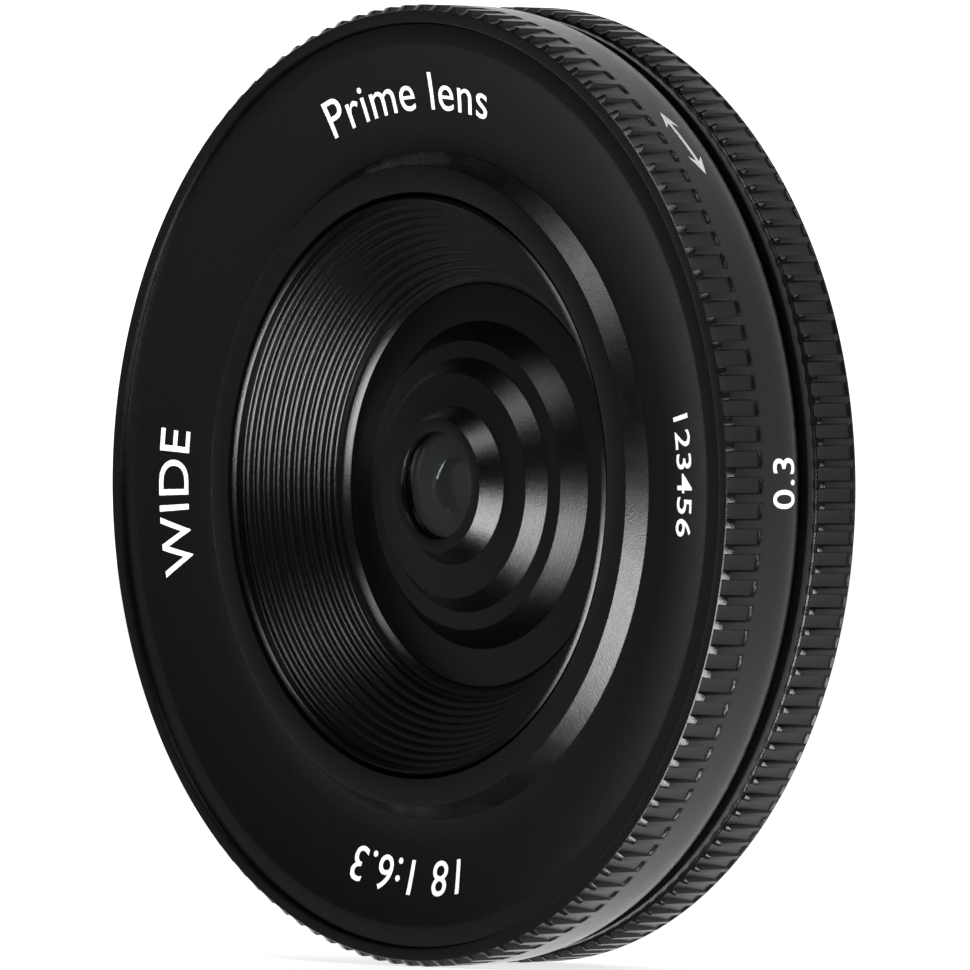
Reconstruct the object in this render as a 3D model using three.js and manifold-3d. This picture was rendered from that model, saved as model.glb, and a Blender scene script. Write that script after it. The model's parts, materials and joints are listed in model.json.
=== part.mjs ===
// A very thin, manual-focus wide prime lens for a mirrorless camera, as separate pieces.
//
// Millimetres. The optical axis is Y: the front looks to -Y, the camera is at +Y, +Z is up.
// The origin is the centre of the flange face that meets the camera.
// Angles are in degrees from +X towards +Z, counter-clockwise for someone facing the front.
// Three groups move against each other: the fixed rear, the focus ring that turns in place,
// and the optical unit that the turning ring drives straight forward.

import * as THREE from "three";
import { mergeVertices } from "three/addons/utils/BufferGeometryUtils.js";
import Module from "manifold-3d";

// ---- driving dimensions -------------------------------------------------------------

const RING_RADIUS = 30.5; // crest of both grip rings, whose fine knurls are left plain here
const BODY_LENGTH = 10.7; // front rim to flange face
const BAYONET_LENGTH = 4.3; // flange face to the rear end

const SEAT = 0.05; // gap between pieces clamped or screwed together
const SLIP = 0.15; // gap between pieces that move past each other

const FOCUS_THROW = 100; // turn from infinity to the nearest distance, degrees

const RIM_OUTER = 30.15; // flat front rim, outside of which the grip is chamfered
const RIM_CHAMFER = 0.44; // depth of that chamfer
const REAR_LIP = { radius: 30.05, end: 7.5 }; // smooth lip in front of the rear grip

const RIM_INNER = 29.32; // bore in the front rim that takes the name ring
const BAND_END = { radius: 29.25, depth: 6.62 }; // where the band's round shoulder ends
const FACE = { outer: 28, inner: 22.45, front: 0.3, rear: 1.52 }; // dished, lettered face

const GROOVE_RADIUS = 18.6; // inner edge of the name ring
const LIP_RADIUS = GROOVE_RADIUS - 0.25; // front lip of the ribbed baffle

// Each rib is a wall, a narrow ledge and a small chamfer. The next lies inside and behind it.
const RIB = { count: 9, radius: 17.94, depth: 1.15, pitch: 0.464, ledge: 0.29, chamfer: 0.1 };
const FLOOR_DEPTH = 5.95; // flat floor between the ribs and the hub
const FLOOR_RADIUS = 12.85;
const HUB_DEPTH = 2.2; // flat ring round the front element
const ENTRY_RADIUS = 3.45; // opening in front of the front element

const HELIX_RADIUS = 20.05; // outside of the sliding carrier
const BEARING_RADIUS = 21.8; // bore that the turning sleeve runs in
const FLANGE_RADIUS = 28.55; // outside of the bayonet plate
const THROAT_RADIUS = 20.35; // inside of the bayonet tube
const TUBE_RADIUS = 21.9; // outside of the bayonet tube
const LUGS = [
  { centre: 90, span: 60 },
  { centre: 213, span: 52 },
  { centre: 327, span: 56 },
];
const LUG_RADIUS = 23.3;

const MOUNT_SCREWS = { count: 4, first: 45, circle: 25.2, shank: 0.8, head: 1.45 };
const RING_SCREWS = { count: 3, first: 30, circle: 24.6, shank: 0.6, head: 1.1 };
const BAFFLE_SCREWS = { count: 3, first: 30, circle: 19.4, shank: 0.4, head: 0.75 };

const KEY_WIDTH = 2;
const KEY_TIP = 18.8; // radius that the guide key reaches in to
const STOP_PIN = { angle: 180, circle: 26.6, radius: 0.6 };
const LOCK_HOLE = { angle: 180, radius: 1.1, depth: 0.9 };
const INDEX_DOT = { angle: 90, circle: 26.9, radius: 0.75, depth: 0.35 };

const GLASS_RADIUS = 2.9; // middle elements
const FRONT_GLASS_RADIUS = 3.85;
const REAR_GLASS_RADIUS = 4;
const STOP_RADIUS = 1.15; // fixed aperture

// ---- finishes -----------------------------------------------------------------------

const finish = (color, roughness, metalness) => ({ color, roughness, metalness });
const BLACK_ANODISED = finish(0x17181a, 0.45, 0.6);
const BLACK_TURNED = finish(0x0e0e10, 0.4, 0.5);
const BLACK_PLASTIC = finish(0x111112, 0.7, 0);
const STEEL = finish(0xb9bbbe, 0.3, 1);
const BRASS = finish(0xb08a46, 0.35, 1);
const WHITE_PAINT = finish(0xe8e8e4, 0.6, 0);
const GLASS = { ...finish(0x9fb6c8, 0.05, 0), transparent: true, opacity: 0.4 };

// ---- tools --------------------------------------------------------------------------

const wasm = await Module();
wasm.setup();

const radians = THREE.MathUtils.degToRad;

// The y of a point that lies this deep behind the front rim.
const at = (depth) => depth - BODY_LENGTH;

// A point on a circle round the axis.
const onCircle = (radius, degrees, y) =>
  new THREE.Vector3(radius * Math.cos(radians(degrees)), y, radius * Math.sin(radians(degrees)));

// A turned piece. The outline is [radius, depth] points: a loop, or a line from axis to axis.
function turned(outline, segments) {
  const points = outline.map(([radius, depth]) => new THREE.Vector2(radius, at(depth)));
  if (outline[0][0] > 0) points.push(points[0].clone());
  let twiceArea = 0;
  points.forEach((p, i) => {
    const q = points[(i + 1) % points.length];
    twiceArea += p.x * q.y - q.x * p.y;
  });
  if (twiceArea < 0) points.reverse();
  return new THREE.LatheGeometry(points, segments);
}

// The same, with y coordinates in place of depths.
const turnedAtY = (outline, segments) =>
  turned(
    outline.map(([radius, y]) => [radius, y + BODY_LENGTH]),
    segments,
  );

function solid(geometry) {
  const bare = geometry.clone();
  bare.deleteAttribute("normal");
  bare.deleteAttribute("uv");
  const merged = mergeVertices(bare, 1e-4);
  return new wasm.Manifold(
    new wasm.Mesh({
      numProp: 3,
      vertProperties: merged.attributes.position.array,
      triVerts: new Uint32Array(merged.index.array),
    }),
  );
}

function geometryOf(body) {
  const mesh = body.getMesh();
  const geometry = new THREE.BufferGeometry();
  geometry.setAttribute("position", new THREE.BufferAttribute(mesh.vertProperties, 3));
  geometry.setIndex(new THREE.BufferAttribute(mesh.triVerts, 1));
  geometry.computeVertexNormals();
  return geometry;
}

const cut = (geometry, tools) =>
  geometryOf(tools.reduce((body, tool) => body.subtract(solid(tool)), solid(geometry)));

const join = (geometry, others) =>
  geometryOf(others.reduce((body, other) => body.add(solid(other)), solid(geometry)));

// A cylinder along the axis direction, from yFront to yRear, through a point on a circle.
function rod(radius, circle, degrees, yFront, yRear, sides = 8) {
  const geometry = new THREE.CylinderGeometry(radius, radius, yRear - yFront, sides);
  const centre = onCircle(circle, degrees, (yFront + yRear) / 2);
  return geometry.translate(centre.x, centre.y, centre.z);
}

// A flat shape in the X-Z plane, made solid from yFront to yRear.
function slab(shape, yFront, yRear, curveSegments) {
  const options = { depth: yRear - yFront, bevelEnabled: false, curveSegments };
  const geometry = new THREE.ExtrudeGeometry(shape, options);
  return geometry.rotateX(Math.PI / 2).translate(0, yRear, 0);
}

function sector(inner, outer, fromDegrees, toDegrees, yFront, yRear) {
  const shape = new THREE.Shape();
  shape.absarc(0, 0, outer, radians(fromDegrees), radians(toDegrees), false);
  shape.absarc(0, 0, inner, radians(toDegrees), radians(fromDegrees), true);
  shape.closePath();
  return slab(shape, yFront, yRear, 8);
}

// A screw along Y with a cross recess. Its head's top is at y = 0 and it points to -Y.
function screw({ shank, head }, headHeight, length) {
  const outline = [
    [0, 0],
    [head, 0],
    [head, -headHeight],
    [shank, -headHeight],
    [shank, -length],
    [0, -length],
  ];
  const body = turnedAtY(outline, 10);
  const recess = (width, depth) => new THREE.BoxGeometry(width, headHeight, depth);
  return cut(body, [recess(head * 1.1, head * 0.3), recess(head * 0.3, head * 1.1)]);
}

// Points of a spherical surface from the axis out. A positive curve has its rim further back.
function surface(apex, curve, radius, steps = 2) {
  const sag = (r) => Math.sign(curve) * (Math.abs(curve) - Math.sqrt(curve * curve - r * r));
  return Array.from({ length: steps + 1 }, (_, i) => {
    const r = (radius * i) / steps;
    return [r, apex + sag(r)];
  });
}

const element = (front, rear) => turned([...front, ...rear.reverse()], 16);

// ---- assembly -----------------------------------------------------------------------

const lens = new THREE.Group();
const fixed = new THREE.Group();
const focus = new THREE.Group();
const optics = new THREE.Group();
lens.add(fixed, focus, optics);

function add(group, name, geometry, look) {
  const mesh = new THREE.Mesh(geometry, new THREE.MeshStandardMaterial(look));
  mesh.name = name;
  group.add(mesh);
  return mesh;
}

// One mesh for each screw of a set, named with its number.
function addScrews(group, name, set, geometry, y, pointsToRear = false) {
  for (let i = 0; i < set.count; i++) {
    const mesh = add(group, `${name}_${i + 1}`, geometry, STEEL);
    mesh.position.copy(onCircle(set.circle, set.first + (360 / set.count) * i, y));
    if (pointsToRear) mesh.rotation.x = Math.PI;
  }
}

// Holes on the same circle as a set of screws.
const holes = (set, radius, yFront, yRear) =>
  Array.from({ length: set.count }, (_, i) =>
    rod(radius, set.circle, set.first + (360 / set.count) * i, yFront, yRear),
  );

// ---- fixed rear ---------------------------------------------------------------------

const WEB_REAR = 9.42; // depth of the face that the bayonet plate sits on
const RING_REAR = BODY_LENGTH - 0.2; // the flange face stands proud of the ring
const RING_BORE = BEARING_RADIUS + 0.65;
const PLATE_FRONT = WEB_REAR + SEAT;
const KEY_FOOT = { outer: 26, depth: 8.55, width: KEY_WIDTH + 0.7 };
const KEY_SCREW = { shank: 0.5, head: 0.9, circle: 24.4 };

// Knurled rear ring with the bearing tube that the focus sleeve turns in.
function rearGripRing() {
  const outline = [
    [28.6, 6.8],
    [REAR_LIP.radius, 6.8],
    [REAR_LIP.radius, REAR_LIP.end],
    [RING_RADIUS, 7.86],
    [RING_RADIUS, RING_REAR],
    [FLANGE_RADIUS + 0.1, RING_REAR],
    [FLANGE_RADIUS + 0.1, WEB_REAR],
    [RING_BORE, WEB_REAR],
    [RING_BORE, 6.05],
    [BEARING_RADIUS, 6.05],
    [BEARING_RADIUS, 4.75],
    [BEARING_RADIUS + 1.5, 4.75],
    [BEARING_RADIUS + 1.5, 7.2],
    [28.6, 7.2],
  ];
  const pocketMiddle = -(KEY_FOOT.outer + RING_BORE - 1) / 2;
  const pocket = new THREE.BoxGeometry(
    KEY_FOOT.width + 0.2,
    2,
    KEY_FOOT.outer - RING_BORE + 1.2,
  ).translate(0, at(KEY_FOOT.depth - SEAT) + 1, pocketMiddle);
  return cut(turned(outline, 60), [
    ...holes(MOUNT_SCREWS, MOUNT_SCREWS.shank + 0.1, at(7.6), at(WEB_REAR) + 1),
    rod(STOP_PIN.radius + SEAT, STOP_PIN.circle, STOP_PIN.angle, at(7), at(7.95)),
    rod(KEY_SCREW.shank + 0.1, KEY_SCREW.circle, -90, at(7.6), at(9)),
    pocket,
  ]);
}

// Metal plate with the flange face, the tube and the three bayonet lugs.
function bayonetPlate() {
  const y = at(PLATE_FRONT);
  const outline = [
    [THROAT_RADIUS, y],
    [FLANGE_RADIUS, y],
    [FLANGE_RADIUS, -0.15],
    [FLANGE_RADIUS - 0.15, 0],
    [TUBE_RADIUS, 0],
    [TUBE_RADIUS, BAYONET_LENGTH - 0.15],
    [TUBE_RADIUS - 0.15, BAYONET_LENGTH],
    [THROAT_RADIUS, BAYONET_LENGTH],
    [THROAT_RADIUS, 3.1],
    [18.6, 3.1],
    [18.6, 2.2],
    [THROAT_RADIUS, 2.2],
  ];
  const lugs = LUGS.map(({ centre, span }) =>
    sector(TUBE_RADIUS - 0.4, LUG_RADIUS, centre - span / 2, centre + span / 2, 2.3, 3.8),
  );
  const dotSeat = INDEX_DOT.radius + SEAT;
  return cut(join(turnedAtY(outline, 40), lugs), [
    ...holes(MOUNT_SCREWS, MOUNT_SCREWS.shank + 0.1, -3, 1),
    ...holes(MOUNT_SCREWS, MOUNT_SCREWS.head + 0.1, -0.75, 1),
    ...holes(BAFFLE_SCREWS, BAFFLE_SCREWS.shank + 0.05, 1, 3.5),
    rod(LOCK_HOLE.radius, MOUNT_SCREWS.circle, LOCK_HOLE.angle, -LOCK_HOLE.depth, 1, 16),
    rod(dotSeat, INDEX_DOT.circle, INDEX_DOT.angle, -INDEX_DOT.depth - SEAT, 1, 16),
  ]);
}

// Black dish inside the bayonet that stops stray light round the rear element.
function rearLightBaffle() {
  const outline = [
    [6.6, 2.6],
    [17.5, 2.6],
    [17.5, 3.15],
    [THROAT_RADIUS - 0.1, 3.15],
    [THROAT_RADIUS - 0.1, 4],
    [15.5, 4],
    [8, 3.35],
    [6.6, 3.35],
  ];
  return cut(
    turnedAtY(outline, 32),
    holes(BAFFLE_SCREWS, BAFFLE_SCREWS.shank + 0.05, 2, 5),
  );
}

// L-shaped key: its foot is screwed into the rear ring, its tongue keeps the carrier straight.
function guideKey() {
  const rear = WEB_REAR - SEAT;
  const tongueFront = 6.95;
  const tongueOuter = RING_BORE - 0.1;
  const block = (width, inner, outer, front) =>
    new THREE.BoxGeometry(width, rear - front, outer - inner).translate(
      0,
      at((front + rear) / 2),
      -(inner + outer) / 2,
    );
  const tongue = block(KEY_WIDTH - 0.1, KEY_TIP, tongueOuter, tongueFront);
  const foot = block(KEY_FOOT.width, tongueOuter - 0.2, KEY_FOOT.outer, KEY_FOOT.depth);
  return cut(join(tongue, [foot]), [
    rod(KEY_SCREW.shank + 0.05, KEY_SCREW.circle, -90, at(8), at(10)),
    rod(KEY_SCREW.head + 0.05, KEY_SCREW.circle, -90, at(8.95), at(10)),
  ]);
}

add(fixed, "rear_grip_ring", rearGripRing(), BLACK_ANODISED);
add(fixed, "bayonet_plate", bayonetPlate(), STEEL);
addScrews(fixed, "mount_screw", MOUNT_SCREWS, screw(MOUNT_SCREWS, 0.58, 2.85), -0.12);
add(
  fixed,
  "index_dot",
  rod(INDEX_DOT.radius, INDEX_DOT.circle, INDEX_DOT.angle, -INDEX_DOT.depth, -0.02, 16),
  WHITE_PAINT,
);
add(fixed, "rear_light_baffle", rearLightBaffle(), BLACK_PLASTIC);
addScrews(fixed, "baffle_screw", BAFFLE_SCREWS, screw(BAFFLE_SCREWS, 0.22, 1.7), 4.24);
add(fixed, "guide_key", guideKey(), BRASS);
add(fixed, "guide_key_screw", screw(KEY_SCREW, 0.36, 1.6), STEEL).position.copy(
  onCircle(KEY_SCREW.circle, -90, at(WEB_REAR - 0.06)),
);
add(
  fixed,
  "focus_stop_pin",
  rod(STOP_PIN.radius, STOP_PIN.circle, STOP_PIN.angle, at(3.85), at(7.9)),
  STEEL,
);
add(
  fixed,
  "bearing_washer",
  turned(
    [
      [BEARING_RADIUS + 0.1, 4.46],
      [BEARING_RADIUS + 1.4, 4.46],
      [BEARING_RADIUS + 1.4, 4.7],
      [BEARING_RADIUS + 0.1, 4.7],
    ],
    36,
  ),
  BLACK_PLASTIC,
);

// ---- turning focus ring -------------------------------------------------------------

const SLEEVE_OUTER = BEARING_RADIUS - SLIP;
const SLEEVE_FLANGE = { radius: 27.6, front: 3.7, rear: 4.4 };
const WEB = { inner: 23.2, front: 2.6, rear: SLEEVE_FLANGE.front - SEAT };
const RETAINER_FRONT = 6.15;

// Grip, scale band with a round shoulder, and a web inside that is screwed to the sleeve.
function focusRing() {
  const outline = [
    [RIM_INNER, 0],
    [RIM_OUTER, 0],
    [RING_RADIUS, RIM_CHAMFER],
    [RING_RADIUS, 5.4],
    [30.3, 6],
    [29.82, 6.4],
    [BAND_END.radius, BAND_END.depth],
    [27.9, BAND_END.depth],
    [27.9, WEB.rear],
    [WEB.inner, WEB.rear],
    [WEB.inner, WEB.front],
    [28.5, WEB.front],
    [28.5, 1.62],
    [RIM_INNER, 1.62],
  ];
  return cut(
    turned(outline, 60),
    holes(RING_SCREWS, RING_SCREWS.shank + 0.1, at(2), at(4)),
  );
}

// Front plate: dished face for the lettering, trough, and raised collar round the ribbed baffle.
function nameRing() {
  return turned(
    [
      [RIM_INNER - SEAT, FACE.front],
      [FACE.outer, FACE.front],
      [26.6, 0.71],
      [25.2, 1.05],
      [23.8, 1.32],
      [FACE.inner, FACE.rear],
      [21.25, FACE.rear],
      [20.33, 0.35],
      [GROOVE_RADIUS, 0.35],
      [GROOVE_RADIUS, 2],
      [23.2, 2],
      [25, 1.57],
      [RIM_INNER - SEAT, 1.57],
    ],
    40,
  );
}

// Female helicoid: turns in the bearing tube and drives the carrier inside it.
function helicoidSleeve() {
  const outline = [
    [HELIX_RADIUS + SLIP, SLEEVE_FLANGE.front],
    [SLEEVE_FLANGE.radius, SLEEVE_FLANGE.front],
    [SLEEVE_FLANGE.radius, SLEEVE_FLANGE.rear],
    [SLEEVE_OUTER, SLEEVE_FLANGE.rear],
    [SLEEVE_OUTER, RETAINER_FRONT - SEAT],
    [21.2, RETAINER_FRONT - SEAT],
    [21.2, 6.75],
    [HELIX_RADIUS + SLIP, 6.75],
  ];
  const pinAngle = THREE.MathUtils.radToDeg((STOP_PIN.radius + SLIP) / STOP_PIN.circle);
  const notch = sector(
    STOP_PIN.circle - STOP_PIN.radius - SLIP,
    SLEEVE_FLANGE.radius + 1,
    STOP_PIN.angle - FOCUS_THROW - pinAngle,
    STOP_PIN.angle + pinAngle,
    at(3),
    at(5),
  );
  return cut(turned(outline, 40), [
    notch,
    ...holes(RING_SCREWS, RING_SCREWS.shank + 0.05, at(3), at(5)),
  ]);
}

add(focus, "focus_ring", focusRing(), BLACK_ANODISED);
add(focus, "name_ring", nameRing(), BLACK_ANODISED);
add(focus, "helicoid_sleeve", helicoidSleeve(), BRASS);
addScrews(focus, "ring_screw", RING_SCREWS, screw(RING_SCREWS, 0.44, 2.2), at(2.11), true);
add(
  focus,
  "sleeve_retaining_ring",
  turned(
    [
      [21.2 + SEAT, RETAINER_FRONT],
      [RING_BORE - SLIP, RETAINER_FRONT],
      [RING_BORE - SLIP, 6.7],
      [21.2 + SEAT, 6.7],
    ],
    48,
  ),
  BLACK_TURNED,
);

// ---- optical unit -------------------------------------------------------------------

const CARRIER_BORE = 17.95;
const CARRIER_WEB = { front: 7, rear: 8.35, hole: 7.6 };
const BAFFLE_REAR = 6.92;
const CLAMP_DEPTH = 6.05; // underside of the baffle's foot, on the hub's flange
const CELL = { nose: 4.6, body: 7.5, flange: 8.4, rear: 12.9 };

// Male helicoid tube with a web that carries the lens cell and a slot for the guide key.
function focusCarrier() {
  const outline = [
    [CARRIER_BORE, 3.4],
    [HELIX_RADIUS, 3.4],
    [HELIX_RADIUS, 10],
    [18, 10],
    [18, CARRIER_WEB.rear],
    [CARRIER_WEB.hole, CARRIER_WEB.rear],
    [CARRIER_WEB.hole, CARRIER_WEB.front],
    [CARRIER_BORE, CARRIER_WEB.front],
  ];
  const slotFloor = KEY_TIP - SLIP;
  const slot = new THREE.BoxGeometry(KEY_WIDTH + 0.1, 4.2, 3).translate(
    0,
    at(6.8 + 2.1),
    -(slotFloor + 1.5),
  );
  return cut(turned(outline, 40), [slot]);
}

// Funnel with stepped ribs that break up reflections, and a sharp lip round its front.
function ribbedBaffle() {
  const ribs = [];
  for (let i = RIB.count; i >= 0; i--) {
    const radius = RIB.radius - RIB.pitch * i;
    const depth = RIB.depth + RIB.pitch * i;
    const edge = radius - RIB.ledge;
    if (i < RIB.count) ribs.push([edge - RIB.chamfer, depth + RIB.chamfer], [edge, depth]);
    ribs.push([radius, depth]);
  }
  const outline = [
    [FLOOR_RADIUS + 0.1, CLAMP_DEPTH],
    [FLOOR_RADIUS + 0.1, FLOOR_DEPTH],
    [13.25, 5.62],
    [13.5, 5.58],
    ...ribs,
    [LIP_RADIUS - 0.42, 0.51],
    [LIP_RADIUS - 0.21, 0.3],
    [LIP_RADIUS, 0.51],
    [LIP_RADIUS, 3.35],
    [CARRIER_BORE - 0.1, 3.35],
    [CARRIER_BORE - 0.1, BAFFLE_REAR],
    [14.3, BAFFLE_REAR],
    [14.3, CLAMP_DEPTH],
  ];
  return turned(outline, 36);
}

// Stepped hub in front of the lens cell, with a flange that the baffle clamps down.
function frontHub() {
  return turned(
    [
      [ENTRY_RADIUS, HUB_DEPTH],
      [4.28, HUB_DEPTH],
      [5.06, 3.52],
      [7.17, 3.52],
      [8.1, 4.64],
      [9.22, 4.64],
      [10.45, FLOOR_DEPTH],
      [FLOOR_RADIUS, FLOOR_DEPTH],
      [FLOOR_RADIUS, CLAMP_DEPTH + SEAT],
      [14.2, CLAMP_DEPTH + SEAT],
      [14.2, BAFFLE_REAR],
      [CELL.nose + SEAT, BAFFLE_REAR],
      [CELL.nose + SEAT, 4.12],
      [FRONT_GLASS_RADIUS + SEAT, 4.12],
      [FRONT_GLASS_RADIUS + SEAT, 2.6],
      [ENTRY_RADIUS, 2.6],
    ],
    32,
  );
}

// Stepped tube that holds the middle and rear elements and the fixed aperture.
function lensCell() {
  const bore = GLASS_RADIUS + SEAT;
  const rearBore = REAR_GLASS_RADIUS + SEAT;
  return turned(
    [
      [bore, 4.15],
      [CELL.nose, 4.15],
      [CELL.nose, 7.05],
      [CELL.body, 7.05],
      [CELL.body, 8.62],
      [CELL.flange, 8.62],
      [CELL.flange, 9.3],
      [5.3, 9.3],
      [5.3, CELL.rear],
      [rearBore, CELL.rear],
      [rearBore, 10.9],
      [bore, 10.9],
      [bore, 6.95],
      [2.6, 6.95],
      [2.6, 6.5],
      [bore, 6.5],
    ],
    20,
  );
}

const ringOf = (inner, outer, front, rear, segments) =>
  turned(
    [
      [inner, front],
      [outer, front],
      [outer, rear],
      [inner, rear],
    ],
    segments,
  );

add(optics, "focus_carrier", focusCarrier(), BLACK_TURNED);
add(optics, "ribbed_baffle", ribbedBaffle(), BLACK_TURNED);
add(optics, "front_hub", frontHub(), BLACK_TURNED);
add(optics, "lens_cell", lensCell(), BLACK_TURNED);
add(optics, "infinity_shim", ringOf(7.65, CELL.flange, 8.39, 8.58, 24), BRASS);
add(
  optics,
  "front_stop_plate",
  ringOf(1.85, FRONT_GLASS_RADIUS, 3.9, 4.08, 16),
  BLACK_TURNED,
);
add(optics, "spacer_ring_1", ringOf(2.55, GLASS_RADIUS, 4.17, 4.72, 16), BLACK_TURNED);
add(optics, "aperture_stop", ringOf(STOP_RADIUS, GLASS_RADIUS, 6.98, 7.12, 16), BLACK_TURNED);
add(optics, "spacer_ring_2", ringOf(2.5, GLASS_RADIUS, 7.17, 7.55, 16), BLACK_TURNED);
add(optics, "spacer_ring_3", ringOf(2.5, GLASS_RADIUS, 9.86, 10.85, 16), BLACK_TURNED);
add(
  optics,
  "rear_retaining_ring",
  turned(
    [
      [ENTRY_RADIUS, 12.25],
      [REAR_GLASS_RADIUS, 11.87],
      [REAR_GLASS_RADIUS, 12.8],
      [ENTRY_RADIUS, 12.8],
    ],
    20,
  ),
  BLACK_TURNED,
);

// Six elements in four groups: 1 | 2 and 3 cemented | 4 and 5 cemented | 6.
const CEMENT = 0.03;
const elements = [
  element(surface(2.36, 20, FRONT_GLASS_RADIUS), [
    ...surface(3.1, 6, GLASS_RADIUS),
    [FRONT_GLASS_RADIUS, 3.85],
  ]),
  element(surface(4.35, 8, GLASS_RADIUS), surface(5.9, -8, GLASS_RADIUS)),
  element(surface(5.9 + CEMENT, -8, GLASS_RADIUS), surface(6.58, -20, GLASS_RADIUS)),
  element(surface(8.05, -10, GLASS_RADIUS), surface(8.45, 8, GLASS_RADIUS)),
  element(surface(8.45 + CEMENT, 8, GLASS_RADIUS), surface(10.2, -8, GLASS_RADIUS)),
  element(surface(11.62, -12, REAR_GLASS_RADIUS), surface(13, -7, REAR_GLASS_RADIUS)),
];
elements.forEach((geometry, i) => add(optics, `lens_element_${i + 1}`, geometry, GLASS));

export default lens;
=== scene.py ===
"""Looks of a very thin wide prime lens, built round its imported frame.

Blender works in metres. The outlines here are (radius, depth) points in millimetres, where depth
runs from the front rim towards the camera side, along +Y. Angles run from +X, which is 3 o'clock
for someone facing the front, towards +Z, which is 12 o'clock.
"""

import json
import math

import bmesh
import bpy
from mathutils import Euler, Matrix, Vector

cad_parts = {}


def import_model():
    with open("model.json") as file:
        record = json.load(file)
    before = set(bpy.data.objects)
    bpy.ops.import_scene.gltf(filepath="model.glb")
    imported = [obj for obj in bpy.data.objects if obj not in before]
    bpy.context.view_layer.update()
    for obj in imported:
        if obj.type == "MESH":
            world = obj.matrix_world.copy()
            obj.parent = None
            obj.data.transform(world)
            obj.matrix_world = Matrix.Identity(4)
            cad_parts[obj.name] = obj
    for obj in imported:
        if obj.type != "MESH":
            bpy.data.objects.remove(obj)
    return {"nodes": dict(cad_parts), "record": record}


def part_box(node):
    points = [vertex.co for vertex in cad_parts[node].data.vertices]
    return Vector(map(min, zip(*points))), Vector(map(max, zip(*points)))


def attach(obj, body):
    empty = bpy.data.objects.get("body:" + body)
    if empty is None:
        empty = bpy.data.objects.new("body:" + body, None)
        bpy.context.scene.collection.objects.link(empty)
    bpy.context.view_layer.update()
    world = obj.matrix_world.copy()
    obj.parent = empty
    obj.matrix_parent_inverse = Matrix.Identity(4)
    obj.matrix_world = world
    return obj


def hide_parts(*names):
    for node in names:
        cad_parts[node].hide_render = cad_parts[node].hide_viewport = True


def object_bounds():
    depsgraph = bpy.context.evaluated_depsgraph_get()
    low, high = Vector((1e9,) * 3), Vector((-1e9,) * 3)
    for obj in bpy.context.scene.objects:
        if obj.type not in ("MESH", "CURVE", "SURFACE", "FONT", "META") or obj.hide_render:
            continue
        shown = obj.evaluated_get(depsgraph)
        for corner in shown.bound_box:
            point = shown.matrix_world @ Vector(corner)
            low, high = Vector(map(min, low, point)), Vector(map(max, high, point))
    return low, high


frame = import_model()
cad_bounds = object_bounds()

MM = 0.001
ring_low, ring_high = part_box("focus_ring")
FRONT_Y = ring_low.y
CREST = ring_high.x / MM  # radius of both grips
FLANGE_DEPTH = -FRONT_Y / MM  # the flange face is the frame's origin
FIXED, TURNING, OPTICS = "fixed_body", "focus_ring_unit", "optical_unit"

# ---- driving sizes ------------------------------------------------------------------

RIM_INNER = 29.32  # the flat front rim runs between these radii
RIM_OUTER = 30.15
SLOT_FLOOR = RIM_OUTER  # the slots run out level with the edge of the rim
SLOT_HOLLOW = 0.02  # how much higher a slot's floor is at its sides than in its middle
SLOT_RISE = 0.2  # how much the floor rises before the slot's end
SLOT_END = 2.66  # depth at which the front slots end
RUN_OUT = 0.35  # length over which the floor of a slot climbs out at its end
END_CURVE = 0.12  # how much earlier a front slot ends at its sides
CHAMFER_END = 0.47  # depth at which the front lands reach their full height
BAND_START = 2.85
BAND_END = (29.25, 6.62)  # radius and depth where the band's shoulder ends
SHOULDER_POWER = 6  # the higher, the tighter the shoulder
FRONT_TEETH = {"count": 120, "land": 1.2, "share": 0.42}  # land: degrees to the first one
REAR_TEETH = {"count": 144, "land": -0.3, "share": 0.4}  # share: of the pitch that is land
FLANK = 0.16  # degrees that a land's side leans
EDGE = 0.05  # degrees of the rounding along a land's edges
EDGE_DROP = 0.03  # how far that rounding falls

NAME_OUTER = (28.0, 0.3)  # outer and inner edges of the dished face with the lettering
NAME_INNER = (22.45, 1.52)
DISH = 0.45  # how strongly the face is bowed
LIP_RADIUS = 18.35
RIB = {
    "count": 9,
    "radius": 17.94,
    "depth": 1.15,
    "pitch": 0.464,
    "ledge": 0.28,
    "chamfer": 0.11,
    "foot": 0.06,
}
HUB_FLOOR = 5.95  # depth of the floor round the hub

FLANGE_OUTER = 28.55
THROAT = 20.35
TUBE = 21.9
LUG_RADIUS = 23.3
LUGS = ((90, 60), (213, 52), (327, 56))  # centre and span
LOCK_HOLE = {"circle": 25.2, "degrees": 180, "radius": 1.1, "floor": -0.9}
INDEX_DOT = {"circle": 26.9, "degrees": 90, "seat": 0.8, "floor": -0.4}

# ---- camera -------------------------------------------------------------------------

VIEW_ANGLE = math.radians(49.8)  # round from the front towards +X
VIEW_DISTANCE = 0.7
VIEW_ROLL = math.radians(0.47)
AIM_SIDEWAYS = 0.0048  # the object sits a little left of the middle of the picture
FOCAL_LENGTH = 409.9


def add_camera():
    """A long lens at the height of the optical axis, to the front and right of the object."""
    data = bpy.data.cameras.new("camera")
    data.lens = FOCAL_LENGTH
    data.sensor_width = 36
    data.clip_start = 0.05
    camera = bpy.data.objects.new("camera", data)
    bpy.context.scene.collection.objects.link(camera)
    front = Vector((0, FRONT_Y, 0))
    towards = Vector((math.sin(VIEW_ANGLE), -math.cos(VIEW_ANGLE), 0))
    right = Vector((math.cos(VIEW_ANGLE), math.sin(VIEW_ANGLE), 0))
    camera.location = front + towards * VIEW_DISTANCE
    look = front + right * AIM_SIDEWAYS - camera.location
    turn = look.to_track_quat("-Z", "Y").to_matrix()
    camera.rotation_euler = (turn @ Matrix.Rotation(-VIEW_ROLL, 3, "Z")).to_euler()
    bpy.context.scene.camera = camera


# ---- node helpers -------------------------------------------------------------------


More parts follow.
